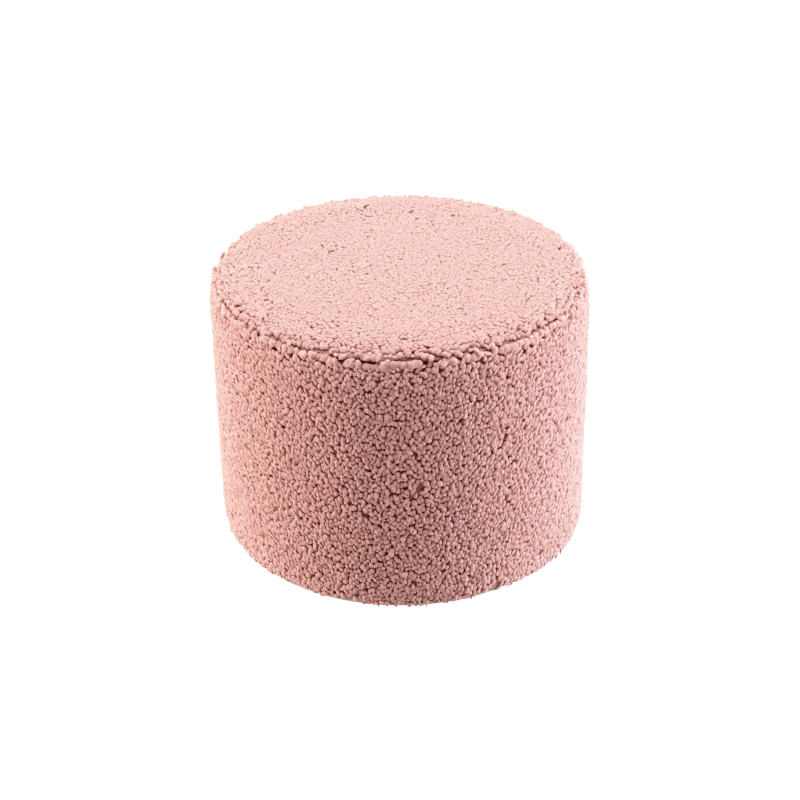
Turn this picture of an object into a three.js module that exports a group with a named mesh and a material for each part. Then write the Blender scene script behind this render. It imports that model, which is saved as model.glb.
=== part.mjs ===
// Round plush pouf: a filled drum of curly pile fleece with a crowned top panel, a sewn side panel and a
// flat base panel of plain cloth. Millimetres, +Z up. The origin is the middle of the underside.

import * as THREE from 'three';

// Driving dimensions of the whole pouf, measured over the pile
const DIAMETER = 400;
const HEIGHT = 300;
const RADIUS = DIAMETER / 2;

// Top seam: a shallow groove just under the rim, where the two panels are drawn in
const SEAM_HEIGHT = 285.5;
const SEAM_RADIUS = 192.5;
const SEAM_GAP = 0.4;

// Top panel: a gentle crown, a soft shoulder, and a lip that overhangs the seam a little
const CROWN = 2;
const SHOULDER_WIDTH = 22;
const LIP_REACH = 2.5;
const LIP_RISE = 4;

// Side panel: nearly straight, with a slight belly, rolled in at the seam and at the foot
const ROLL_HEIGHT = 30;
const BELLY = 1.4;
const FOOT_RADIUS = 195;
const FOOT_ROLL = 6;

// Base panel: plain cloth, flat on the floor
const BASE_THICKNESS = 3;
const BASE_RADIUS = 191;
const BASE_EDGE = 1;

// How finely the round forms are cut
const AROUND = 96;
const CROWN_RINGS = 7;
const CURVE_STEPS = 6;
const LIP_STEPS = 3;
const WALL_RINGS = 14;

// Hand-sewn unevenness of the seam and of the filled panels. Every row is a wave round the pouf: its
// lobes round the axis, its size in millimetres, where it starts, and its bands up the wall or out from
// the axis. An even number of lobes keeps the pouf centred on its axis.
const SEAM_WAVES = [
  { lobes: 2, rise: 0.7, phase: 0.6 },
  { lobes: 4, rise: 0.5, phase: 2.1 },
  { lobes: 10, rise: 0.45, phase: 4.0 },
  { lobes: 16, rise: 0.3, phase: 1.3 },
];
const WALL_WAVES = [
  { lobes: 2, depth: 0.5, phase: 1.9, bands: 0.5 },
  { lobes: 4, depth: 0.5, phase: 0.4, bands: 1.0 },
  { lobes: 8, depth: 0.4, phase: 3.2, bands: 1.5 },
];
const CROWN_WAVES = [
  { lobes: 2, depth: 0.5, phase: 2.7, bands: 1.0 },
  { lobes: 6, depth: 0.4, phase: 0.9, bands: 1.5 },
];

// Where the hand-stuffed filling pushes the panels out, lifts them or leaves them slack: the turn round the
// axis from +X in degrees, the height of its middle, its push outwards and upwards, and how far it spreads
// round the axis in degrees and up or down
const PUFFS = [
  { turn: 145, height: 280, outward: 3.5, lift: 3, spread: 55, tall: 40 },
  { turn: -22, height: 12, outward: 3, lift: 0, spread: 25, tall: 30 },
  { turn: -130, height: 8, outward: -2, lift: 0, spread: 20, tall: 30 },
];

// How fast the seam's waves fade down the wall, and any wave towards the axis
const NEAR_SEAM_POWER = 6;
const NEAR_RIM_POWER = 4;

// Surface materials, as seen in the photo
const pileFleece = new THREE.MeshStandardMaterial({
  name: 'pile_fleece',
  color: 0xdfa59c,
  roughness: 0.95,
  metalness: 0,
});
const baseCloth = new THREE.MeshStandardMaterial({
  name: 'base_cloth',
  color: 0xb98c84,
  roughness: 0.9,
  metalness: 0,
});

// Points between the ends of a quarter of an ellipse. It leaves the first end along the radius or
// upright, and reaches the last end the other way.
function quarterCurve(from, to, leavesAlongRadius, steps) {
  const points = [];
  for (let step = 1; step < steps; step += 1) {
    const angle = (step / steps) * (Math.PI / 2);
    const early = Math.sin(angle);
    const late = 1 - Math.cos(angle);
    const alongRadius = leavesAlongRadius ? early : late;
    const alongHeight = leavesAlongRadius ? late : early;
    points.push(new THREE.Vector2(
      from.x + (to.x - from.x) * alongRadius,
      from.y + (to.y - from.y) * alongHeight,
    ));
  }
  return points;
}

// Rings of a flat face at one height, from the axis outwards, without the axis and the edge
function flatRings(radius, height) {
  const points = [];
  for (let ring = 1; ring < CROWN_RINGS; ring += 1) {
    points.push(new THREE.Vector2((radius * ring) / CROWN_RINGS, height));
  }
  return points;
}

// Half section of the top panel: underside at the seam, lip, soft shoulder, gentle crown
function topSection() {
  const under = SEAM_HEIGHT + SEAM_GAP / 2;
  const edge = new THREE.Vector2(SEAM_RADIUS, under);
  const lip = new THREE.Vector2(SEAM_RADIUS + LIP_REACH, under + LIP_RISE);
  const shoulder = new THREE.Vector2(SEAM_RADIUS - SHOULDER_WIDTH, HEIGHT - CROWN);
  const section = [new THREE.Vector2(0, under), ...flatRings(SEAM_RADIUS, under), edge];
  section.push(...quarterCurve(edge, lip, true, LIP_STEPS), lip);
  section.push(...quarterCurve(lip, shoulder, false, CURVE_STEPS), shoulder);
  for (let ring = CROWN_RINGS - 1; ring > 0; ring -= 1) {
    const share = ring / CROWN_RINGS;
    section.push(new THREE.Vector2(shoulder.x * share, HEIGHT - CROWN * share * share));
  }
  section.push(new THREE.Vector2(0, HEIGHT));
  return section;
}

// Half section of the filled side panel, from the foot up to the seam
function sideSection() {
  const foot = new THREE.Vector2(FOOT_RADIUS, BASE_THICKNESS + SEAM_GAP);
  const wallFoot = new THREE.Vector2(RADIUS - BELLY, foot.y + FOOT_ROLL);
  const wallTop = new THREE.Vector2(RADIUS - BELLY, SEAM_HEIGHT - ROLL_HEIGHT);
  const seam = new THREE.Vector2(SEAM_RADIUS, SEAM_HEIGHT - SEAM_GAP / 2);
  const section = [new THREE.Vector2(0, foot.y), foot];
  section.push(...quarterCurve(foot, wallFoot, true, CURVE_STEPS), wallFoot);
  for (let ring = 1; ring < WALL_RINGS; ring += 1) {
    const share = ring / WALL_RINGS;
    const height = wallFoot.y + (wallTop.y - wallFoot.y) * share;
    section.push(new THREE.Vector2(wallFoot.x + BELLY * Math.sin(Math.PI * share), height));
  }
  section.push(wallTop, ...quarterCurve(wallTop, seam, false, CURVE_STEPS), seam);
  section.push(...flatRings(SEAM_RADIUS, seam.y).reverse(), new THREE.Vector2(0, seam.y));
  return section;
}

// Half section of the base panel, with a small turned edge
function baseSection() {
  return [
    new THREE.Vector2(0, 0),
    new THREE.Vector2(BASE_RADIUS - BASE_EDGE, 0),
    new THREE.Vector2(BASE_RADIUS, BASE_EDGE),
    new THREE.Vector2(BASE_RADIUS, BASE_THICKNESS - BASE_EDGE),
    new THREE.Vector2(BASE_RADIUS - BASE_EDGE, BASE_THICKNESS),
    new THREE.Vector2(0, BASE_THICKNESS),
  ];
}

// A wave's swell from 0 to 1: its lobes round the pouf times its bands across the panel
function swell(wave, angle, across) {
  const around = (Math.cos(wave.lobes * angle + wave.phase) + 1) / 2;
  return around * Math.sin(Math.PI * wave.bands * across) ** 2;
}

// A puff's strength from 0 to 1: full at its middle, fading round the pouf and up or down
function nearPuff(puff, angle, height) {
  const turned = angle - THREE.MathUtils.degToRad(puff.turn);
  const around = Math.abs(Math.atan2(Math.sin(turned), Math.cos(turned)));
  const across = around / THREE.MathUtils.degToRad(puff.spread);
  const above = (height - puff.height) / puff.tall;
  return Math.exp(-across * across - above * above);
}

// Moves a point of either filled panel by the unevenness of the sewing and filling. Both panels share it,
// so the gap at the seam stays even. It fades out at the axis.
function settle(point) {
  const radius = Math.hypot(point.x, point.y);
  const angle = Math.atan2(point.y, point.x);
  const outward = radius / RADIUS;
  const upWall = THREE.MathUtils.clamp(point.z / SEAM_HEIGHT, 0, 1);
  const overSeam = THREE.MathUtils.clamp((point.z - SEAM_HEIGHT) / (HEIGHT - SEAM_HEIGHT), 0, 1);
  let rise = 0;
  for (const wave of SEAM_WAVES) {
    rise += wave.rise * Math.cos(wave.lobes * angle + wave.phase);
  }
  let hollow = 0;
  for (const wave of WALL_WAVES) {
    hollow += wave.depth * swell(wave, angle, upWall);
  }
  let dip = 0;
  for (const wave of CROWN_WAVES) {
    dip += wave.depth * swell(wave, angle, outward);
  }
  let lift = 0;
  for (const puff of PUFFS) {
    const strength = nearPuff(puff, angle, point.z);
    hollow -= puff.outward * strength;
    lift += puff.lift * strength * outward ** NEAR_RIM_POWER;
  }
  const nearSeam = (1 - overSeam) * upWall ** NEAR_SEAM_POWER * outward ** NEAR_RIM_POWER;
  const narrowed = 1 - (hollow * outward ** NEAR_RIM_POWER) / RADIUS;
  point.x *= narrowed;
  point.y *= narrowed;
  point.z += rise * nearSeam - dip * overSeam + lift;
}

// Turns a half section round the +Z axis into one closed solid, uneven or plain
function turnedPanel(name, section, material, uneven) {
  const geometry = new THREE.LatheGeometry(section, AROUND);
  geometry.rotateX(Math.PI / 2);
  if (uneven) {
    const positions = geometry.getAttribute('position');
    const point = new THREE.Vector3();
    for (let index = 0; index < positions.count; index += 1) {
      settle(point.fromBufferAttribute(positions, index));
      positions.setXYZ(index, point.x, point.y, point.z);
    }
    geometry.computeVertexNormals();
  }
  const panel = new THREE.Mesh(geometry, material);
  panel.name = name;
  return panel;
}

const pouf = new THREE.Group();
pouf.add(turnedPanel('base_panel', baseSection(), baseCloth, false));
pouf.add(turnedPanel('side_panel', sideSection(), pileFleece, true));
pouf.add(turnedPanel('top_panel', topSection(), pileFleece, true));

export default pouf;
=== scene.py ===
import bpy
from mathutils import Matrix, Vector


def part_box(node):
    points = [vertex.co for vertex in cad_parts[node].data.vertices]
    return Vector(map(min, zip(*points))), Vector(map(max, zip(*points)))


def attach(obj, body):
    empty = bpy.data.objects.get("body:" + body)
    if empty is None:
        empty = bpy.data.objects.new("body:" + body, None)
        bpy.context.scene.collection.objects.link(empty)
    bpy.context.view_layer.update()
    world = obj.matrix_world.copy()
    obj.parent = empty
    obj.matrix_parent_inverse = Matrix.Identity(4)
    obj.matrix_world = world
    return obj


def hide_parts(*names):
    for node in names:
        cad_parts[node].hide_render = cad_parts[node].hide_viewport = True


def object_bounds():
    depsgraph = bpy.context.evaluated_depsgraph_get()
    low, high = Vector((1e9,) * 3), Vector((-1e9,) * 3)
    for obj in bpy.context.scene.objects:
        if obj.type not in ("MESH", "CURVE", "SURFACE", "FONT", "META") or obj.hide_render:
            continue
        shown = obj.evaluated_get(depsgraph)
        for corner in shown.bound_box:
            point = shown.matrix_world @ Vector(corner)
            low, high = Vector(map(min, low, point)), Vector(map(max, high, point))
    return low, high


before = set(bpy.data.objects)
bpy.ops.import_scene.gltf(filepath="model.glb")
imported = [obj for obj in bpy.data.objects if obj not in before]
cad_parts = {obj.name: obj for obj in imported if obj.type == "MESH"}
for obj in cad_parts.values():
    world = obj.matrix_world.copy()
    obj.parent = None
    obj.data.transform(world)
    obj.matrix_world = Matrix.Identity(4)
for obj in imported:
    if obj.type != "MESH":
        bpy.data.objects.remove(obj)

"""Dresses a round plush pouf: two filled cushions with a sewn rim seam, a plain base cloth, and the curly
pile of the fleece as thousands of small closed tufts, in plain studio light."""

import math

import bmesh
import bpy
import numpy as np
from bpy.props import FloatProperty, FloatVectorProperty, IntProperty, PointerProperty
from bpy.types import Operator, Panel, PropertyGroup
from mathutils import Euler, Vector
from mathutils.bvhtree import BVHTree
from mathutils.kdtree import KDTree

bl_info = {
    "name": "Plush Pouf",
    "version": (1, 0, 0),
    "blender": (4, 5, 0),
    "location": "3D View > Sidebar > Pouf",
    "description": "Makes a round pouf in curly pile fleece round its solids",
    "category": "Object",
}

CAD_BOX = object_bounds()
TOP_NODE, SIDE_NODE, BASE_NODE = "top_panel", "side_panel", "base_panel"
TOP_BOX, SIDE_BOX, BASE_BOX = (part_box(node) for node in (TOP_NODE, SIDE_NODE, BASE_NODE))
HEIGHT = CAD_BOX[1].z
RADIUS = (CAD_BOX[1].x - CAD_BOX[0].x) / 2
SEAM_HEIGHT = (TOP_BOX[0].z + SIDE_BOX[1].z) / 2
MM = 0.001


# Settings that a user would change

class PoufSizes(PropertyGroup):
    """Sizes of the cushions and of the pile."""
    pile_depth: FloatProperty(
        name="Pile depth", description="How far the backing lies inside the tips of the pile",
        default=4.0 * MM, min=1.0 * MM, max=15.0 * MM, unit="LENGTH")
    tuft_pitch: FloatProperty(
        name="Tuft pitch", description="Distance from one tuft of the side's pile to the next",
        default=4.7 * MM, min=3.0 * MM, max=20.0 * MM, unit="LENGTH")
    seat_pitch: FloatProperty(
        name="Seat tuft size", description="Size of the tufts where people sit, against those of the side",
        default=0.90, min=0.5, max=2.0, subtype="FACTOR")
    seam_growth: FloatProperty(
        name="Seam tuft size",
        description="Size of the loose tufts beside the rim seam, against those of the side",
        default=1.0, min=0.5, max=2.0, subtype="FACTOR")
    clump_share: FloatProperty(
        name="Clump share", description="One clump of tufts for how many tufts",
        default=0.3, min=0.05, max=1.0, subtype="FACTOR")
    side_press: FloatProperty(
        name="Side press", description="How flat the pile of the side lies, against that of the seat",
        default=0.3, min=0.0, max=1.0, subtype="FACTOR")
    tuft_spread: FloatProperty(
        name="Tuft spread", description="How far the tufts of the side may lie off the upright",
        default=math.radians(18), min=0.0, max=math.radians(90), subtype="ANGLE")
    cloth_voxel: FloatProperty(
        name="Cloth cell", description="Size of the cells in which the cushions are simulated",
        default=6.0 * MM, min=3.0 * MM, max=20.0 * MM, unit="LENGTH")
    swell_limit: FloatProperty(
        name="Swell limit", description="How far the filling may push the cloth out",
        default=3.0 * MM, min=0.0, max=30.0 * MM, unit="LENGTH")
    seed: IntProperty(
        name="Seed", description="Start of the random numbers, so that each run is alike",
        default=7, min=0)


class PoufColours(PropertyGroup):
    """Colours of the fleece, of the painted shade in its creases, and of the cloths, in linear light."""
    pile_tip: FloatVectorProperty(
        name="Pile", description="Colour of the pile where light reaches it",
        default=(0.80, 0.316, 0.277), min=0.0, max=1.0, subtype="COLOR")
    # Painted shade: the darker, redder colour that stands in for the shade deep in the creases between the
    # tufts
    pile_crease_shade: FloatVectorProperty(
        name="Pile root", description="Colour of the pile deep between the tufts",
        default=(0.42, 0.165, 0.14), min=0.0, max=1.0, subtype="COLOR")
    base_cloth: FloatVectorProperty(
        name="Base cloth", description="Colour of the plain cloth underneath",
        default=(0.50, 0.30, 0.27), min=0.0, max=1.0, subtype="COLOR")
    floor: FloatVectorProperty(
        name="Floor", description="Colour of the studio floor",
        default=(0.92, 0.92, 0.92), min=0.0, max=1.0, subtype="COLOR")


class PoufStudio(PropertyGroup):
    """Camera and light of the studio."""
    lens: FloatProperty(
        name="Lens", description="Focal length of the camera",
        default=81.0, min=10.0, max=300.0, unit="CAMERA")
    elevation: FloatProperty(
        name="Elevation", description="Height of the camera's line of sight over the horizon",
        default=math.radians(29.8), min=0.0, max=math.radians(90), subtype="ANGLE")
    distance: FloatProperty(
        name="Distance", description="From the camera to the middle of the pouf",
        default=1.951, min=0.5, max=10.0, unit="LENGTH")
    roll: FloatProperty(
        name="Roll", description="Turn of the camera about its line of sight",
        default=math.radians(-0.6), min=-0.2, max=0.2, subtype="ANGLE")
    shift_x: FloatProperty(
        name="Shift across", description="Sideways shift of the picture, as a share of its width",
        default=-0.0017, min=-0.5, max=0.5, subtype="FACTOR")
    shift_y: FloatProperty(
        name="Shift up", description="Upward shift of the picture, as a share of its width",
        default=-0.0146, min=-0.5, max=0.5, subtype="FACTOR")


# Shader maths

class Wire:
    """A shader socket that adds Math nodes when it is used in a sum or a product."""

    def __init__(self, shader, socket):
        self.shader = shader
        self.socket = socket

    def maths(self, operation, first, second):
        return self.shader.add("ShaderNodeMath", {"operation": operation}, {0: first, 1: second})

    def __add__(self, other):
        return self.maths("ADD", self, other)

    __radd__ = __add__

    def __mul__(self, other):
        return self.maths("MULTIPLY", self, other)

    __rmul__ = __mul__


class Shader:
    """A node tree that is written as expressions."""

    def __init__(self, owner):
        owner.use_nodes = True
        self.tree = owner.node_tree
        self.tree.nodes.clear()

    def feed(self, socket, value):
        if isinstance(value, Wire):
            self.tree.links.new(value.socket, socket)
        elif hasattr(value, "__len__") and len(socket.default_value) == len(value) + 1:
            socket.default_value = (*value, 1.0)
        else:
            socket.default_value = value

    def add(self, kind, settings=None, sockets=None, out=0):
        """One node of any kind: its settings first, then the values or links of its sockets."""
        node = self.tree.nodes.new(kind)
        for name, value in (settings or {}).items():
            setattr(node, name, value)
        for name, value in (sockets or {}).items():
            self.feed(node.inputs[name], value)
        return Wire(self, node.outputs[out]) if node.outputs else node

    def attribute(self, name, out="Fac"):
        return self.add("ShaderNodeAttribute", {"attribute_name": name}, out=out)

    def parts(self, vector):
        """The three numbers of a vector."""
        node = self.add("ShaderNodeSeparateXYZ", {}, {"Vector": vector}).socket.node
        return [Wire(self, socket) for socket in node.outputs]

    def sine(self, value):
        return self.add("ShaderNodeMath", {"operation": "SINE"}, {0: value})

    def place(self):
        return self.add("ShaderNodeTexCoord", out="Object")

    def noise(self, scale, detail):
        return self.add("ShaderNodeTexNoise", {}, {"Vector": self.place(), "Scale": scale, "Detail": detail})

    def bump(self, strength, distance, height):
        return self.add("ShaderNodeBump", {}, {"Strength": strength, "Distance": distance, "Height": height})

    def soft_step(self, value, low, high):
        """0 below low, 1 above high, and smooth between them."""
        return self.add("ShaderNodeMapRange", {"interpolation_type": "SMOOTHSTEP"}, {
            "Value": value, "From Min": low, "From Max": high})

    def mix(self, share, first, second, blend="MIX"):
        """A colour between two colours. The numbers are the node's sockets for colours."""
        return self.add("ShaderNodeMix", {"data_type": "RGBA", "blend_type": blend}, {
            0: share, 6: first, 7: second}, out=2)

    def surface(self, sockets):
        shader = self.add("ShaderNodeBsdfPrincipled", {}, sockets)
        self.add("ShaderNodeOutputMaterial", {}, {"Surface": shader})


def new_material(name):
    material = bpy.data.materials.new(name)
    return material, Shader(material)


def darker(colour, share):
    return [value * share for value in colour]


# Strands over each tuft: how many, how far they wander, and over which part of their wave they rise
STRANDS, STRAND_WANDER, STRAND_LOW, STRAND_HIGH = 6.5, 2.5, -1.0, -0.1
# Grain of the noises, in cells to a metre
WANDER_GRAIN, FIBRE_GRAIN, KNIT_GRAIN, SLUB_GRAIN, PAPER_GRAIN = 420.0, 1500.0, 900.0, 220.0, 3.0
# Rise up a tuft, with some wander in it, over which its colour turns from the painted crease shade to the
# pile's own colour at the tip
ROOT_ENDS, TIP_BEGINS, RISE_WANDER = 0.55, 1.05, 0.4
# Shade of the darkest tuft, what its own random tint adds to that, and what the ridges of its strands add,
# which leaves painted shade in the grooves between the strands
SHADE_LEAST, SHADE_TINT, STRAND_PAINTED_SHADE = 0.86, 0.08, 0.06
# Height of the fibre against that of the strands, and the depth of both
FIBRE_SHARE, STRAND_DEPTH = 0.4, 1.3 * MM
# Wave of the woven threads, in radians to a metre
THREADS = 2800.0


def pile_material(colours):
    """Matt pink pile with painted shade, darker and redder, deep down between the tufts, each tuft of strands
    side by side, a little lighter or darker.
    """
    material, shader = new_material("pile_fleece_tufts")
    rise = shader.attribute("tuft_rise")
    tint = shader.attribute("tuft_tint")
    loose = shader.attribute("tuft_loose")
    across, _, phase = shader.parts(shader.attribute("tuft_lock", out="Vector"))
    wander = shader.noise(WANDER_GRAIN, 2.0)
    strand = shader.sine(across * STRANDS + wander * STRAND_WANDER + phase)
    ridge = shader.soft_step(strand, STRAND_LOW, STRAND_HIGH)
    # Painted shade: low on each tuft, deep between the tufts, the colour turns to the darker, redder crease
    # shade
    lit = shader.soft_step(rise + RISE_WANDER * wander, ROOT_ENDS, TIP_BEGINS)
    colour = shader.mix(lit, colours.pile_crease_shade, colours.pile_tip)
    # Each tuft's own random tint, and painted shade in the grooves between its strands
    shade = SHADE_LEAST + SHADE_TINT * tint + STRAND_PAINTED_SHADE * ridge
    grey = shader.add("ShaderNodeCombineColor", {}, {"Red": shade, "Green": shade, "Blue": shade})
    colour = shader.mix(1.0, colour, grey, blend="MULTIPLY")
    relief = (ridge + FIBRE_SHARE * shader.noise(FIBRE_GRAIN, 3.0)) * loose
    shader.surface({
        "Base Color": colour, "Roughness": 0.95, "Normal": shader.bump(1.0, STRAND_DEPTH, relief),
        "Specular IOR Level": 0.15, "Sheen Weight": 0.35, "Sheen Roughness": 0.45,
        "Sheen Tint": (1.0, 0.86, 0.82, 1.0)})
    return material


def backing_material(colours):
    """The knitted backing that shows only between the tufts, coloured as painted deep shade: darker still
    than the pile's painted crease shade, with the knit in it.
    """
    material, shader = new_material("fleece_backing")
    knit = shader.noise(KNIT_GRAIN, 2.0)
    # Painted shade: the backing is darkened to stand for the deep shade at the bottom of the creases
    deep = darker(colours.pile_crease_shade, 0.6)
    colour = shader.mix(shader.soft_step(knit, 0.3, 0.7), deep, colours.pile_crease_shade)
    shader.surface({
        "Base Color": colour, "Roughness": 0.95, "Normal": shader.bump(0.6, 0.6 * MM, knit),
        "Specular IOR Level": 0.1})
    return material


def weave_material(colours):
    """Plain woven cloth: threads over and under each other, thicker and thinner along their length."""
    material, shader = new_material("base_cloth_weave")
    along, across, _ = shader.parts(shader.place())
    height = shader.soft_step(shader.sine(along * THREADS) * shader.sine(across * THREADS), -0.6, 0.6)
    slub = shader.soft_step(shader.noise(SLUB_GRAIN, 3.0), 0.35, 0.7)
    dark = darker(colours.base_cloth, 0.72)
    colour = shader.mix(slub * 0.5 + height * 0.4, dark, colours.base_cloth)
    shader.surface({
        "Base Color": colour, "Roughness": 0.85, "Normal": shader.bump(0.5, 0.3 * MM, height),
        "Specular IOR Level": 0.2})
    return material


def floor_material(colours):
    """Smooth pale paper that glows, so that it stays white to its edge."""
    material, shader = new_material("studio_floor")
    grain = shader.soft_step(shader.noise(PAPER_GRAIN, 2.0), 0.3, 0.7)
    colour = shader.mix(grain, darker(colours.floor, 0.985), colours.floor)
    shader.surface({
        "Base Color": colour, "Roughness": 0.9, "Specular IOR Level": 0.1,
        "Emission Color": WHITE, "Emission Strength": FLOOR_GLOW})
    return material


def bounce_material():
    """The light that the floor sends back up to the pouf."""
    material, shader = new_material("floor_bounce")
    shader.surface({
        "Base Color": BLACK, "Emission Color": WHITE, "Emission Strength": FLOOR_BOUNCE})
    return material


# Mesh tools

def add_object(name, mesh, material):
    """Puts a mesh in the scene as a piece that rides on the pouf's body."""
    piece = bpy.data.objects.new(name, mesh)
    bpy.context.scene.collection.objects.link(piece)
    mesh.materials.clear()
    mesh.materials.append(material)
    for polygon in mesh.polygons:
        polygon.material_index = 0
    mesh.shade_smooth()
    return piece


def apply_modifiers(piece):
    graph = bpy.context.evaluated_depsgraph_get()
    mesh = bpy.data.meshes.new_from_object(piece.evaluated_get(graph))
    old = piece.data
    piece.modifiers.clear()
    piece.data = mesh
    bpy.data.meshes.remove(old)


def points_of(mesh):
    points = np.empty(len(mesh.vertices) * 3)
    mesh.vertices.foreach_get("co", points)
    return points.reshape(-1, 3)


def set_points(mesh, points):
    mesh.vertices.foreach_set("co", points.ravel())
    mesh.update()


def smooth(value, low, high):
    """0 below low, 1 above high, and smooth between them."""
    share = np.clip((value - low) / (high - low), 0.0, 1.0)
    return share * share * (3.0 - 2.0 * share)


def unit(vectors):
    return vectors / np.maximum(np.linalg.norm(vectors, axis=-1, keepdims=True), 1e-12)


def out_of(points):
    """Distance from the pouf's upright axis."""
    return np.hypot(points[..., 0], points[..., 1])


def turn_of(points):
    """Turn round the pouf's upright axis, from +X."""
    return np.arctan2(points[..., 1], points[..., 0])


# Cushions

# Points of a cushion this near to a seam stay where they are sewn
SEWN = 4 * MM
# The lip of the top panel, up to this height over the seam, is drawn in level
LIP_HEIGHT = 3 * MM
# Distances from the axis over which the crown's room to swell fades out
CROWN_FLAT, CROWN_END = 0.105, 0.170
CLOTH_FRAMES = 20


def inset_copy(node, pile_depth, swell):
    """A welded copy of a solid, drawn in by the depth of the pile, with room for the crown to swell."""
    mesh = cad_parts[node].data.copy()
    shape = bmesh.new()
    shape.from_mesh(mesh)
    bmesh.ops.remove_doubles(shape, verts=shape.verts, dist=0.01 * MM)
    shape.to_mesh(mesh)
    shape.free()
    points = points_of(mesh)
    inward = np.empty(len(mesh.vertices) * 3)
    mesh.vertices.foreach_get("normal", inward)
    inward = inward.reshape(-1, 3)
    inward[points[:, 2] < SEAM_HEIGHT + LIP_HEIGHT, 2] = 0.0
    points -= pile_depth * inward
    on_top = points[:, 2] > SEAM_HEIGHT + LIP_HEIGHT
    points[:, 2] -= swell * (on_top * (1 - smooth(out_of(points), CROWN_FLAT, CROWN_END)))
    set_points(mesh, points)
    return mesh


def fill_out(piece, held, sizes):
    """Blows the cushion up with its filling as simulated cloth. Held points stay where they are sewn."""
    scene = bpy.context.scene
    start = points_of(piece.data)
    group = piece.vertex_groups.new(name="sewn")
    group.add([int(index) for index in np.flatnonzero(held)], 1.0, "REPLACE")
    cloth = piece.modifiers.new("filling", "CLOTH")
    cloth.settings.quality = 5
    cloth.settings.use_pressure = True
    cloth.settings.uniform_pressure_force = 4.0
    cloth.settings.tension_stiffness = 15.0
    cloth.settings.compression_stiffness = 15.0
    cloth.settings.vertex_group_mass = "sewn"
    cloth.settings.effector_weights.gravity = 0.0
    cloth.point_cache.frame_start, cloth.point_cache.frame_end = 1, CLOTH_FRAMES
    for step in range(1, CLOTH_FRAMES + 1):
        scene.frame_set(step)
    apply_modifiers(piece)
    scene.frame_set(1)
    piece.vertex_groups.clear()
    move = points_of(piece.data) - start
    length = np.linalg.norm(move, axis=1, keepdims=True)
    limited = move * np.minimum(1.0, sizes.swell_limit / np.maximum(length, 1e-9))
    set_points(piece.data, start + limited)


def make_cushion(name, node, held, sizes, material):
    """One filled cushion from its solid: inset, remeshed and blown up."""
    swell = sizes.swell_limit
    piece = add_object(name, inset_copy(node, sizes.pile_depth, swell), material)
    remesh = piece.modifiers.new("cells", "REMESH")
    remesh.mode = "VOXEL"
    remesh.voxel_size = sizes.cloth_voxel
    apply_modifiers(piece)
    fill_out(piece, held(points_of(piece.data)), sizes)
    piece.data.shade_smooth()
    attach(piece, "root")
    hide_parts(node)
    return piece


# Pile

def open_faces(piece, keep):
    """The points of a cushion, and those of its triangles that carry pile."""
    mesh = piece.data
    mesh.calc_loop_triangles()
    corners = np.empty(len(mesh.loop_triangles) * 3, np.int32)
    mesh.loop_triangles.foreach_get("vertices", corners)
    points = points_of(mesh)
    triangles = corners.reshape(-1, 3)
    p = points[triangles]
    facing = unit(np.cross(p[:, 1] - p[:, 0], p[:, 2] - p[:, 0]))
    return points, triangles[keep(facing[:, 2])]


def cloth_axes(normals, heading):
    """Two ways along the cloth at each root: the way in which the pile lies, and the way across it."""
    reference = np.where(np.abs(normals[:, 2:]) < 0.9, [[0.0, 0.0, 1.0]], [[0.0, 1.0, 0.0]])
    level = unit(np.cross(reference, normals))
    upward = np.cross(normals, level)
    lying = np.cos(heading)[:, None] * level + np.sin(heading)[:, None] * upward
    return lying, np.cross(normals, lying)


def own_measure(ways, lying, across, stretch):
    """Ways along the cloth in the measure in which each drawn-out tuft is round."""
    longer = np.sqrt(stretch)[:, None]
    return np.stack([(ways * lying[:, None]).sum(2) / longer, (ways * across[:, None]).sum(2) * longer], 2)


# Rounds in which the roots push each other apart, with how many neighbours, how far they want to be
# apart against the pitch, and how much of the way they go in a round
ROUNDS, NEIGHBOURS, ROOM, PUSH = 6, 10, 1.12, 0.40
# How much the tufts differ in size, with the smallest and the largest
VARIETY, VARIETY_LEAST, VARIETY_MOST = 0.13, 0.7, 1.5


def spread_roots(piece, keep, pitch, growth, nap, rng):
    """Roots of the tufts: evenly spread random points on a cushion, with the cushion's normals there, and
    how large each tuft is against its neighbours. Along the nap they stand further apart than across it."""
    points, triangles = open_faces(piece, keep)
    p = points[triangles]
    area = np.linalg.norm(np.cross(p[:, 1] - p[:, 0], p[:, 2] - p[:, 0]), axis=1) / 2
    area /= growth(p.mean(1)) ** 2
    count = int(area.sum() / (pitch * pitch * math.sqrt(3) / 2))
    corner = p[rng.choice(len(triangles), count, p=area / area.sum())]
    u, v = rng.random((2, count, 1))
    u, v = np.where(u + v > 1, 1 - u, u), np.where(u + v > 1, 1 - v, v)
    roots = corner[:, 0] + u * (corner[:, 1] - corner[:, 0]) + v * (corner[:, 2] - corner[:, 0])
    tree = BVHTree.FromPolygons(points.tolist(), triangles.tolist())
    normals = np.zeros_like(roots)
    variety = np.exp(rng.normal(0.0, VARIETY, count)).clip(VARIETY_LEAST, VARIETY_MOST)
    for turn in range(ROUNDS + 1):
        for index, root in enumerate(roots.tolist()):
            roots[index], normals[index], _, _ = tree.find_nearest(root)
        if turn == ROUNDS:
            break
        heading, stretch = nap(roots)
        near = nearest(roots, NEIGHBOURS)
        apart = roots[:, None] - roots[near]
        own = own_measure(apart, *cloth_axes(normals, heading), stretch)
        length = np.maximum(np.linalg.norm(own, axis=2, keepdims=True), 1e-9)
        room = ROOM * pitch * (growth(roots)[:, None] * (variety[:, None] + variety[near]) / 2)[:, :, None]
        roots = roots + (apart / length * np.maximum(room - length, 0.0)).sum(1) * PUSH
    return roots, unit(normals), variety


def nearest(points, count):
    """Indices of the nearest other points of each point."""
    tree = KDTree(len(points))
    for index, point in enumerate(points.tolist()):
        tree.insert(point, index)
    tree.balance()
    return np.array([[found[1] for found in tree.find_n(point, count + 1)[1:]] for point in points.tolist()])


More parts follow.
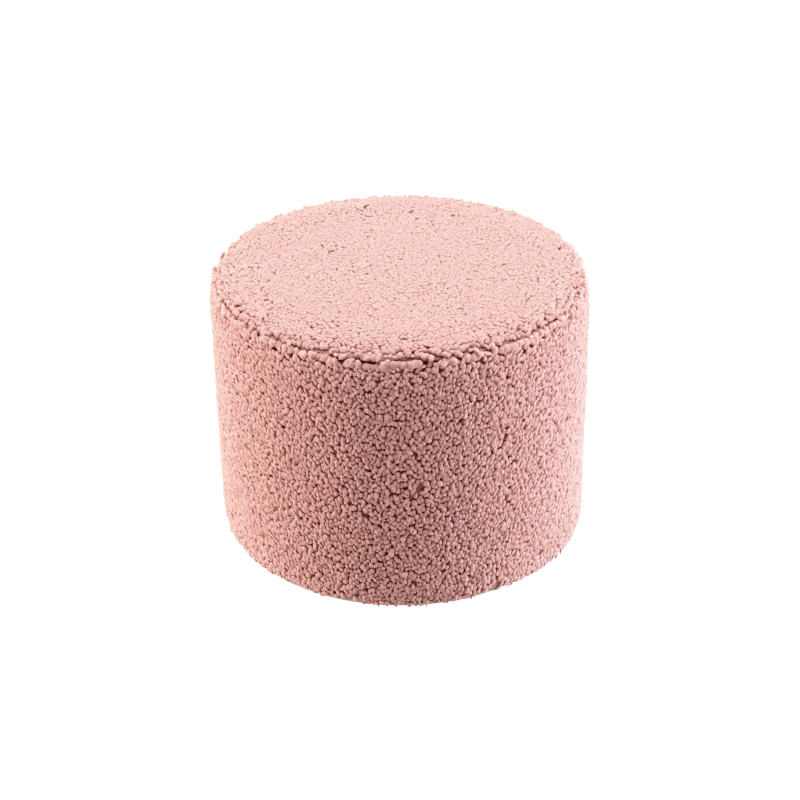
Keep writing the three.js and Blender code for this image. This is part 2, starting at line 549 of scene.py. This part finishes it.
def clumps(roots, share, rng):
    """Gathers the tufts in clumps round a share of them, and gives how deep each lies inside its clump."""
    heads = np.flatnonzero(rng.random(len(roots)) < share)
    tree = KDTree(len(heads))
    for index, head in enumerate(heads):
        tree.insert(roots[head], index)
    tree.balance()
    found = [tree.find_n(root, 2) for root in roots.tolist()]
    return np.array([pair[1][2] - pair[0][2] for pair in found])


TUFT_SIDES = 6
# Rings of a tuft from its crown down: share of its reach, and share of its height
TUFT_RINGS = ((0.64, 0.95), (0.98, 0.64), (1.07, 0.22))
# How far a tuft's underside lies in the backing
TUFT_SUNK = 0.4 * MM
# Places on a tuft's map cell: middle and reach of its dome, and of its underside
DOME_MIDDLE, DOME_REACH, UNDER_MIDDLE, UNDER_REACH = 0.44, 0.42, 0.94, 0.05
# Neighbours that shape a tuft, its largest reach against the pitch, and how sharply that cap sets in
SHAPERS, REACH_MOST, CAP_POWER = 14, 0.80, 5
# How much the tufts differ: how drawn out they are, with its least and most, their outline and their rise
STRETCH_VARIETY, STRETCH_LEAST, STRETCH_MOST, OUTLINE_VARIETY, RISE_VARIETY = 0.25, 0.6, 1.7, 0.10, 0.12
# The same for their height, and what looseness adds to that
HEIGHT_VARIETY, LOOSE_VARIETY, HEIGHT_LEAST, HEIGHT_MOST = 0.04, 0.10, 0.6, 1.35
# Sway of a pressed tuft, and what looseness adds to that
SWAY, LOOSE_SWAY = 0.08, 0.22
# How much pressing spreads a tuft's foot, lifts its rings and evens out their height
PRESSED_FOOT, PRESSED_LIFT, PRESSED_EVEN = 0.3, 0.6, 0.08


def tuft_faces():
    """Corners of one tuft's faces and their places on its map cell: crown, rings, and a point underneath."""
    rings = len(TUFT_RINGS)
    faces, cells = [], []

    def round_place(middle, reach, side):
        turn = 2 * math.pi * side / TUFT_SIDES
        return middle + reach * math.cos(turn), middle + reach * math.sin(turn)

    def place(ring, side):
        return round_place(DOME_MIDDLE, DOME_REACH * ring / rings, side)

    for side in range(TUFT_SIDES):
        after = (side + 1) % TUFT_SIDES
        faces.append((0, 1 + side, 1 + after))
        cells.append((place(0, 0), place(1, side), place(1, after)))
        for ring in range(rings - 1):
            high, low = 1 + ring * TUFT_SIDES, 1 + (ring + 1) * TUFT_SIDES
            faces.append((high + side, low + side, low + after, high + after))
            cells.append((
                place(ring + 1, side), place(ring + 2, side), place(ring + 2, after), place(ring + 1, after)))
        low = 1 + (rings - 1) * TUFT_SIDES
        faces.append((low + after, low + side, 1 + rings * TUFT_SIDES))
        ends = [round_place(UNDER_MIDDLE, UNDER_REACH, turn) for turn in (after, side)]
        cells.append((*ends, (UNDER_MIDDLE, UNDER_MIDDLE)))
    return faces, cells


def grow_tufts(roots, normals, habit, sizes, rng):
    """Points of all tufts, how far up its tuft each lies, and its place on the tuft. Each tuft is a small
    dome that fills the room between its neighbours.

    The habit of each tuft is its size, its width, its heading and how far it strays from that, how drawn
    out and how flat it is, how much higher than its neighbours it stands, and its lean."""
    count = len(roots)
    size, pressed = habit["size"] * habit["variety"], habit["pressed"]
    heading = habit["heading"] + habit["spread"] * rng.normal(size=count)
    drawn = np.exp(rng.normal(0.0, STRETCH_VARIETY, count)).clip(STRETCH_LEAST, STRETCH_MOST)
    stretch = habit["stretch"] * drawn
    lying, across = cloth_axes(normals, heading)
    near = nearest(roots, SHAPERS)
    apart = own_measure(roots[near] - roots[:, None], lying, across, stretch)
    length = np.linalg.norm(apart, axis=2)
    own, other = habit["variety"][:, None], habit["variety"][near]
    room = length * own / (own + other)
    toward = apart / length[:, :, None]
    turns = 2 * math.pi * (np.arange(TUFT_SIDES) + rng.random((count, 1))) / TUFT_SIDES
    facing = np.cos(turns)[:, :, None] * toward[:, None, :, 0]
    facing += np.sin(turns)[:, :, None] * toward[:, None, :, 1]
    # Only neighbours that lie in the way of a side hold it back. The others leave it a metre of room.
    reach = np.where(facing > 0.1, room[:, None] / np.maximum(facing, 0.1), 1.0).min(2)
    cap = REACH_MOST * sizes.tuft_pitch * size[:, None]
    reach = (reach ** -CAP_POWER + cap ** -CAP_POWER) ** (-1 / CAP_POWER)
    reach *= rng.normal(1.0, OUTLINE_VARIETY, reach.shape) * habit["wide"][:, None]
    loose = 1 - pressed
    height = rng.normal(1.0, HEIGHT_VARIETY + LOOSE_VARIETY * loose).clip(HEIGHT_LEAST, HEIGHT_MOST)
    tall = sizes.pile_depth * height * size ** 0.5 + habit["puff"]
    longer = np.sqrt(stretch)[:, None]
    outward = (np.cos(turns) * longer)[:, :, None] * lying[:, None]
    outward += (np.sin(turns) / longer)[:, :, None] * across[:, None]
    sway = rng.normal(size=(count, 1)) * lying + rng.normal(size=(count, 1)) * across
    tilt = (SWAY + LOOSE_SWAY * loose)[:, None] * sway + habit["lean"]
    phase = np.repeat(rng.uniform(0, 2 * math.pi, (count, 1)), TUFT_SIDES, 1)
    rows = [(roots + (normals + tilt) * tall[:, None])[:, None]]
    rise = [np.ones((count, 1))]
    lock = [np.stack([np.zeros(count), np.zeros(count), phase[:, 0]], 1)[:, None]]
    for share, level in TUFT_RINGS:
        share = share + PRESSED_FOOT * (1 - level) ** 2 * pressed[:, None]
        local = reach * share / (0.5 * sizes.tuft_pitch)
        lock.append(np.stack([local * np.sin(turns) / longer, local * np.cos(turns) * longer, phase], 2))
        rise.append(level * rng.normal(1.0, RISE_VARIETY, reach.shape))
        level = level + PRESSED_LIFT * pressed[:, None] * (1 - level)
        high = tall[:, None] * level
        high = high * rng.normal(1.0, RISE_VARIETY - PRESSED_EVEN * pressed[:, None], reach.shape)
        ring = roots[:, None] + outward * (reach * share)[:, :, None] + normals[:, None] * high[:, :, None]
        rows.append(ring + tilt[:, None] * high[:, :, None])
    rows.append((roots - normals * TUFT_SUNK)[:, None])
    rise.append(np.zeros((count, 1)))
    lock.append(lock[0])
    return np.concatenate(rows, 1), np.concatenate(rise, 1), np.concatenate(lock, 1)


def pile_mesh(name, points, rise, lock, tint, loose):
    """One mesh of many tufts with their attributes and a map that gives each tuft its own cell."""
    count, per_tuft = points.shape[:2]
    faces, cells = tuft_faces()
    sides = np.array([len(face) for face in faces])
    corner = np.concatenate([np.array(face) for face in faces])
    corners = (np.arange(count)[:, None] * per_tuft + corner).ravel()
    starts = np.concatenate([[0], np.cumsum(np.tile(sides, count))[:-1]])
    mesh = bpy.data.meshes.new(name)
    mesh.vertices.add(count * per_tuft)
    mesh.vertices.foreach_set("co", points.astype(np.float32).ravel())
    mesh.loops.add(len(corners))
    mesh.loops.foreach_set("vertex_index", corners.astype(np.int32))
    mesh.polygons.add(len(starts))
    mesh.polygons.foreach_set("loop_start", starts.astype(np.int32))
    mesh.update(calc_edges=True)
    for label, values in (("tuft_rise", rise.ravel()), ("tuft_tint", np.repeat(tint, per_tuft)),
                          ("tuft_loose", np.repeat(loose, per_tuft))):
        attribute = mesh.attributes.new(label, "FLOAT", "POINT")
        attribute.data.foreach_set("value", values.astype(np.float32))
    attribute = mesh.attributes.new("tuft_lock", "FLOAT_VECTOR", "POINT")
    attribute.data.foreach_set("vector", lock.astype(np.float32).ravel())
    grid = math.ceil(math.sqrt(count))
    cell = np.concatenate([np.array(c) for c in cells])
    origin = np.stack([np.arange(count) % grid, np.arange(count) // grid], 1)[:, None]
    margin = 0.02
    places = (origin + margin + (1 - 2 * margin) * cell) / grid
    layer = mesh.uv_layers.new(name="OFBake")
    layer.uv.foreach_set("vector", places.astype(np.float32).ravel())
    mesh.validate()
    return mesh


def seam_line():
    """The height of the sewn rim seam at any point round the pouf, read from the side panel's solid."""
    points = points_of(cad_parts[SIDE_NODE].data)
    inside = RADIUS - out_of(points)
    edge = points[(points[:, 2] > SEAM_HEIGHT - 4 * MM) & (inside < 8.5 * MM) & (inside > 6.2 * MM)]
    edge = edge[np.argsort(turn_of(edge))]
    turns = turn_of(edge)
    return lambda points: np.interp(turn_of(points), turns, edge[:, 2], period=2 * math.pi)


def seam_nearness(points):
    """1 in the loose pile beside the rim seam, 0 away from it."""
    near = 1 - smooth(np.abs(points[:, 2] - SEAM_HEIGHT), 5 * MM, 15 * MM)
    return near * smooth(out_of(points), RADIUS - 34 * MM, RADIUS - 14 * MM)


def hold_above(height, limit, soft):
    """Heights that stay above a limit, and bend softly near it."""
    return limit + soft * np.logaddexp(0.0, (height - limit) / soft)


# The side's pile: how far its heading turns from the upright towards the left and right, how drawn out
# its tufts are in front and how much more at the left and right, and how much flatter they lie there
NAP_TURN, DRAWN_FRONT, DRAWN_SIDES, FLATTER_SIDES = 1.2, 1.35, 1.9, 1.2
# The seat's pile: how flat people have pressed it, and how much of that is lost at the rim
SEAT_PRESSED, RIM_LOOSE = 0.90, 0.66
# Clumps: how far into a clump its tufts still grow higher, against the pitch, how much, and from where
CLUMP_REACH, CLUMP_HEAP, CLUMP_SUNK = 1.3, 0.8 * MM, 0.35 * MM
# How much higher the seat's pile stands, how much that grows at the rim, and how much lower it is at the foot
SEAT_RAISED, RIM_RAISED, FOOT_SUNK = 0.7 * MM, 1.0 * MM, 1.2 * MM
# The seam's sag in front, where the filling has settled: its turn round the pouf, its spread and its depth
SAG_TURN, SAG_SPREAD, SAG_DEPTH = -1.76, 0.17, 3 * MM
# The seam's pucker: its height, its gathers round the pouf, and how unevenly they come
PUCKER, GATHERS, GATHER_DRIFT, GATHER_BEATS = 0.8 * MM, 41, 2, 7
# Beside the seam: how far tufts lean over it, how much wider those of the lip are, how far they may cross
# it, how softly they stop, and how much painted light lifts their colour out of the painted crease shade
HANG_MOST, LIP_WIDER, OVERLAP, SEAM_SOFT, SEAM_PAINTED_LIGHT = 0.3, 0.6, 5.5 * MM, 0.8 * MM, 0.2
# The lowest that pile reaches, over the floor
FLOOR_GAP = 0.3 * MM
# How much pressing flattens the strands of a tuft
PRESSED_STRANDS = 0.7


def grow_pile(cushion, names, keep, part_of, is_seat, sizes, material, rng):
    """Covers a cushion with tufts, split into pieces by where each tuft's root lies."""
    seam = seam_line()

    def growth(points):
        size = sizes.seat_pitch if is_seat else 1.0
        return size + (sizes.seam_growth - size) * seam_nearness(points)

    def nap(points):
        """Which way the pile lies, and how drawn out its tufts are."""
        turned = turn_of(points)
        if is_seat:
            return 0 * turned, 1.0 + 0 * turned
        drawn = DRAWN_SIDES * np.cos(turned) ** 2 * smooth(points[:, 2], 4 * MM, 28 * MM)
        return math.pi / 2 - NAP_TURN * np.cos(turned), DRAWN_FRONT + drawn

    roots, normals, variety = spread_roots(cushion, keep, sizes.tuft_pitch, growth, nap, rng)
    near = seam_nearness(roots)
    out, turned = out_of(roots), turn_of(roots)
    if is_seat:
        pressed = SEAT_PRESSED - RIM_LOOSE * smooth(out, RADIUS - 30 * MM, RADIUS - 14 * MM)
    else:
        pressed = sizes.side_press * (1 + FLATTER_SIDES * np.cos(turned) ** 2)
    inside = smooth(clumps(roots, sizes.clump_share, rng), 0.0, sizes.tuft_pitch * CLUMP_REACH)
    heap = (CLUMP_HEAP * inside - CLUMP_SUNK) * (1 - pressed)
    if is_seat:
        heap += SEAT_RAISED + RIM_RAISED * smooth(out, RADIUS - 36 * MM, RADIUS - 18 * MM)
    else:
        heap -= FOOT_SUNK * (1 - smooth(roots[:, 2], 8 * MM, 26 * MM))
    sagging = SAG_DEPTH * near * np.exp(-((turned - SAG_TURN) / SAG_SPREAD) ** 2)
    roots[:, 2] -= sagging
    pucker = PUCKER * np.sin(GATHERS * turned + GATHER_DRIFT * np.sin(GATHER_BEATS * turned))
    hang = rng.uniform(0.0, HANG_MOST, len(roots))
    hang = -hang if is_seat else hang
    heading, stretch = nap(roots)
    habit = {
        "size": growth(roots), "variety": variety, "pressed": pressed, "puff": near * pucker + heap,
        "wide": 1 + LIP_WIDER * is_seat * near * (1 - normals[:, 2] ** 2),
        "heading": heading, "stretch": stretch, "spread": math.pi if is_seat else sizes.tuft_spread,
        "lean": np.array([[0.0, 0.0, 1.0]]) * (near * hang)[:, None]}
    points, rise, lock = grow_tufts(roots, normals, habit, sizes, rng)
    # Painted light: beside the seam the tufts take less of the painted crease shade, which lightens the
    # shaded groove
    rise = rise + SEAM_PAINTED_LIGHT * near[:, None]
    line = (seam(roots) + pucker - sagging)[:, None]
    overlap = OVERLAP * rng.random((len(roots), 1))
    if is_seat:
        points[:, :, 2] = hold_above(points[:, :, 2], line - overlap, SEAM_SOFT)
    else:
        points[:, :, 2] = -hold_above(-points[:, :, 2], -line - overlap, SEAM_SOFT)
    points[:, :, 2] = np.maximum(points[:, :, 2], FLOOR_GAP)
    tint, loose = rng.random(len(roots)), 1 - PRESSED_STRANDS * pressed
    part = part_of(roots)
    for index, name in enumerate(names):
        chosen = part == index
        mesh = pile_mesh(name, points[chosen], rise[chosen], lock[chosen], tint[chosen], loose[chosen])
        piece = add_object(name, mesh, material)
        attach(piece, "root")


# Operators

class OBJECT_OT_pouf_cushions(Operator):
    """Makes the filled top and side cushions of the pouf"""
    bl_idname = "object.pouf_cushions"
    bl_label = "Cushions"

    def execute(self, context):
        sizes, colours = context.scene.pouf_sizes, context.scene.pouf_colours
        backing = backing_material(colours)
        top = make_cushion("top_cushion", TOP_NODE, lambda p: p[:, 2] < SEAM_HEIGHT + SEWN, sizes, backing)
        side = make_cushion(
            "side_cushion", SIDE_NODE,
            lambda p: (p[:, 2] > SEAM_HEIGHT - SEWN) | (p[:, 2] < SIDE_BOX[0].z + SEWN), sizes, backing)
        return {"FINISHED"}


class OBJECT_OT_pouf_pile(Operator):
    """Grows the curly pile on the top and side cushions"""
    bl_idname = "object.pouf_pile"
    bl_label = "Curly pile"

    def execute(self, context):
        sizes, colours = context.scene.pouf_sizes, context.scene.pouf_colours
        material = pile_material(colours)
        rng = np.random.default_rng(sizes.seed)
        grow_pile(
            bpy.data.objects["top_cushion"], ("pile_top_left", "pile_top_right"),
            lambda upward: upward > -0.5,
            lambda roots: (roots[:, 0] > 0).astype(int), True, sizes, material, rng)
        sectors = 4
        grow_pile(
            bpy.data.objects["side_cushion"], [f"pile_side_{1 + index}" for index in range(sectors)],
            lambda upward: (upward < 0.8) & (upward > -0.6),
            lambda roots: ((turn_of(roots) / (2 * math.pi) % 1.0) * sectors).astype(int),
            False, sizes, material, rng)
        return {"FINISHED"}


class OBJECT_OT_pouf_base(Operator):
    """Makes the plain cloth that closes the underside"""
    bl_idname = "object.pouf_base"
    bl_label = "Base cloth"

    def execute(self, context):
        colours = context.scene.pouf_colours
        low, high = BASE_BOX
        thick, radius = high.z - low.z, (high.x - low.x) / 2
        shape = bmesh.new()
        rings, around, turned = 8, 96, 0.6 * MM
        outline = [(radius * ring / rings, 0.0) for ring in range(1, rings)]
        outline += [(radius - turned, 0.0), (radius, turned)]
        outline += [(radius, thick - turned), (radius - turned, thick)]
        outline += [(radius * ring / rings, thick) for ring in range(rings - 1, 0, -1)]
        loops = []
        for distance, height in outline:
            loop = []
            for index in range(around):
                turn = 2 * math.pi * index / around
                loop.append(shape.verts.new((distance * math.cos(turn), distance * math.sin(turn), height)))
            loops.append(loop)
        under, over = shape.verts.new((0, 0, 0)), shape.verts.new((0, 0, thick))
        for index in range(around):
            after = (index + 1) % around
            shape.faces.new((under, loops[0][after], loops[0][index]))
            shape.faces.new((over, loops[-1][index], loops[-1][after]))
            for inner, outer in zip(loops, loops[1:]):
                shape.faces.new((inner[index], inner[after], outer[after], outer[index]))
        bmesh.ops.recalc_face_normals(shape, faces=shape.faces)
        mesh = bpy.data.meshes.new("base_cloth")
        shape.to_mesh(mesh)
        shape.free()
        piece = add_object("base_cloth", mesh, weave_material(colours))
        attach(piece, "root")
        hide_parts(BASE_NODE)
        return {"FINISHED"}


WHITE, BLACK = (1.0, 1.0, 1.0, 1.0), (0.0, 0.0, 0.0, 1.0)

# Each row: name, way from the pouf to the light, distance, width, height, power in watts, colour
LIGHTS = (
    ("light_over", (0.0, -0.1, 1.0), 1.9, 1.6, 1.6, 44.0, (1.0, 1.0, 1.0)),
    ("light_back", (0.0, 0.5, 1.0), 1.9, 1.2, 1.2, 39.0, (1.0, 1.0, 1.0)),
    ("light_left", (-1.0, 0.02, 0.0), 1.7, 1.0, 0.3, 54.5, (1.0, 0.845, 0.757)),
    ("light_right", (1.0, 0.0, 0.0), 1.7, 1.0, 0.3, 61.0, (0.906, 0.92, 1.0)),
)
# Brightness of the floor to the camera, and of the light that it sends back up
FLOOR_GLOW = 2.2
FLOOR_BOUNCE = 0.6

# Tone of the photo: scene light against picture light, with a soft toe and shoulder
TONE = ((0.01, 0.0108), (0.03, 0.0593), (0.07, 0.163), (0.14, 0.29), (0.25, 0.432), (0.4, 0.592),
        (0.6, 0.752), (0.85, 0.85), (1.3, 0.955))
TONE_END = 2.0


class OBJECT_OT_pouf_stage(Operator):
    """Makes the studio: floor, soft lights and the camera at the photo's angle"""
    bl_idname = "object.pouf_stage"
    bl_label = "Studio"

    def execute(self, context):
        scene, studio = context.scene, context.scene.pouf_studio
        half = 6.0
        sheets = {}
        for name, height, material in (
                ("floor", -0.5 * MM, floor_material(scene.pouf_colours)),
                ("floor_bounce", 0.0, bounce_material())):
            mesh = bpy.data.meshes.new(name)
            sides = ((-half, -half), (half, -half), (half, half), (-half, half))
            corners = [(*side, height) for side in sides]
            mesh.from_pydata(corners, [], [(0, 1, 2, 3)])
            sheets[name] = add_object(name, mesh, material)
        sheets["floor"].visible_diffuse = False
        sheets["floor_bounce"].visible_camera = False
        world = bpy.data.worlds.new("studio")
        scene.world = world
        sky = Shader(world)
        light = sky.add("ShaderNodeBackground", {}, {"Color": WHITE, "Strength": FLOOR_GLOW})
        sky.add("ShaderNodeOutputWorld", {}, {"Surface": light})
        for rays in ("diffuse", "glossy", "transmission", "scatter"):
            setattr(world.cycles_visibility, rays, False)
        middle = Vector((0, 0, HEIGHT / 2))
        for name, way, distance, width, height, power, colour in LIGHTS:
            lamp = bpy.data.lights.new(name, "AREA")
            lamp.shape = "RECTANGLE"
            lamp.size, lamp.size_y = width, height
            lamp.energy = power
            lamp.color = colour
            piece = bpy.data.objects.new(name, lamp)
            toward = Vector(way).normalized()
            piece.location = middle + toward * distance
            piece.rotation_euler = toward.to_track_quat("Z", "Y").to_euler()
            scene.collection.objects.link(piece)
        camera = bpy.data.cameras.new("photo_camera")
        camera.sensor_width = 36.0
        camera.lens = studio.lens
        camera.shift_x, camera.shift_y = studio.shift_x, studio.shift_y
        piece = bpy.data.objects.new("photo_camera", camera)
        back = Vector((0, -math.cos(studio.elevation), math.sin(studio.elevation)))
        piece.location = middle + back * studio.distance
        aim = Euler((math.pi / 2 - studio.elevation, 0.0, 0.0)).to_quaternion()
        turn = Euler((0.0, 0.0, studio.roll)).to_quaternion()
        piece.rotation_euler = (aim @ turn).to_euler()
        scene.collection.objects.link(piece)
        scene.camera = piece
        scene.view_settings.view_transform = "Standard"
        scene.view_settings.look = "None"
        scene.view_settings.use_curve_mapping = True
        tone = scene.view_settings.curve_mapping
        tone.clip_max_x = TONE_END
        curve = tone.curves[3]
        curve.points[1].location = (TONE_END, 1.0)
        for place in TONE:
            curve.points.new(*place)
        for point in curve.points:
            point.handle_type = "AUTO_CLAMPED"
        tone.update()
        return {"FINISHED"}


class VIEW3D_PT_pouf(Panel):
    """Sidebar panel with the pouf's settings and its makers"""
    bl_label = "Plush Pouf"
    bl_idname = "VIEW3D_PT_pouf"
    bl_space_type = "VIEW_3D"
    bl_region_type = "UI"
    bl_category = "Pouf"

    def draw(self, context):
        layout, scene = self.layout, context.scene
        for settings in (scene.pouf_sizes, scene.pouf_colours, scene.pouf_studio):
            box = layout.box()
            for name in settings.__annotations__:
                box.prop(settings, name)
        for maker in MAKERS:
            layout.operator(maker.bl_idname)


MAKERS = (OBJECT_OT_pouf_cushions, OBJECT_OT_pouf_pile, OBJECT_OT_pouf_base, OBJECT_OT_pouf_stage)
CLASSES = (PoufSizes, PoufColours, PoufStudio, *MAKERS, VIEW3D_PT_pouf)


def register():
    for item in CLASSES:
        bpy.utils.register_class(item)
    bpy.types.Scene.pouf_sizes = PointerProperty(type=PoufSizes)
    bpy.types.Scene.pouf_colours = PointerProperty(type=PoufColours)
    bpy.types.Scene.pouf_studio = PointerProperty(type=PoufStudio)


def unregister():
    del bpy.types.Scene.pouf_sizes, bpy.types.Scene.pouf_colours, bpy.types.Scene.pouf_studio
    for item in reversed(CLASSES):
        bpy.utils.unregister_class(item)


def main():
    register()
    bpy.ops.object.pouf_cushions()
    bpy.ops.object.pouf_pile()
    bpy.ops.object.pouf_base()
    bpy.ops.object.pouf_stage()


if __name__ == "__main__":
    main()
